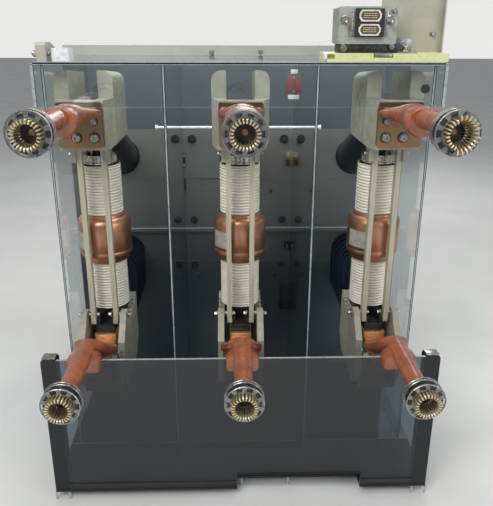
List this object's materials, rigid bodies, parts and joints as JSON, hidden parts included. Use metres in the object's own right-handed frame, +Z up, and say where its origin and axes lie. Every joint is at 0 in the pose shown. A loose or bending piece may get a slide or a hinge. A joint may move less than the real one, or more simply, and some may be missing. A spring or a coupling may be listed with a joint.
{
  "type": "substation circuit breaker",
  "caption": "Withdrawable vacuum circuit breaker truck with insulated disconnect arms, tulip contacts and clear phase barriers.",
  "frame": {"origin": "on the floor, under the axis of the centre pole's vacuum interrupter", "axes": "+Z up, the primary disconnects point to -Y, +X to the right seen from the disconnects"},
  "size_m": [1.006, 1.205, 1.24],
  "materials": {
    "beige_paint": "satin paint",
    "black_moulding": "moulded, satin",
    "black_resin": "cast resin, semi-gloss",
    "clear_sheet": "clear polycarbonate",
    "copper_bar": "laminated copper",
    "copper_shield": "lacquered copper",
    "dark_steel": "dark powder coat",
    "glass_fibre_bar": "glass fibre laminate, satin",
    "glazed_ceramic": "glazed",
    "green_laminate": "glass fibre laminate",
    "grey_paint": "grey paint, satin",
    "moulded_resin": "moulded resin, satin",
    "nickel_plate": "nickel plated",
    "nylon": "natural nylon",
    "plug_grey": "die cast, painted",
    "red_brown_resin": "cast resin sleeve, gloss",
    "silvered_contact": "silver plated",
    "smoked_sheet": "tinted polycarbonate",
    "tinned_copper": "tin plated, rubbed"
  },
  "bodies": {
    "root": {"arms_centre": "red_brown_resin", "arms_left": "red_brown_resin", "arms_right": "red_brown_resin", "base_pan": "dark_steel", "ceramics_centre": "glazed_ceramic", "ceramics_left": "glazed_ceramic", "ceramics_right": "glazed_ceramic", "couplings": "black_moulding", "end_rings": "nickel_plate", "floor_sheet": "clear_sheet", "front_sheet": "smoked_sheet", "glass_fibre_plate": "green_laminate", "guide_pegs": "nickel_plate", "head_centre": "moulded_resin", "head_left": "moulded_resin", "head_right": "moulded_resin", "hood_front": "clear_sheet", "hood_sides": "clear_sheet", "hood_top": "clear_sheet", "housing": "grey_paint", "insulators_centre": "black_resin", "insulators_left": "black_resin", "insulators_right": "black_resin", "interphase_barriers": "clear_sheet", "latch_lug": "beige_paint", "operator_cover": "grey_paint", "plug_box": "plug_grey", "plug_insert": "black_moulding", "posts": "dark_steel", "runners": "clear_sheet", "shield_centre": "copper_shield", "shield_left": "copper_shield", "shield_right": "copper_shield", "side_sheets": "clear_sheet", "spacer_rod": "nylon", "stop_block": "nylon", "struts_centre": "glass_fibre_bar", "struts_left": "glass_fibre_bar", "struts_right": "glass_fibre_bar", "support_centre": "moulded_resin", "support_left": "moulded_resin", "support_right": "moulded_resin", "tall_plate": "beige_paint", "terminal_bars": "copper_bar", "terminal_plates": "tinned_copper", "tulips_centre": "silvered_contact", "tulips_left": "silvered_contact", "tulips_right": "silvered_contact", "wall_ledges": "grey_paint", "wall_panel": "grey_paint"}
  },
  "joints": []
}
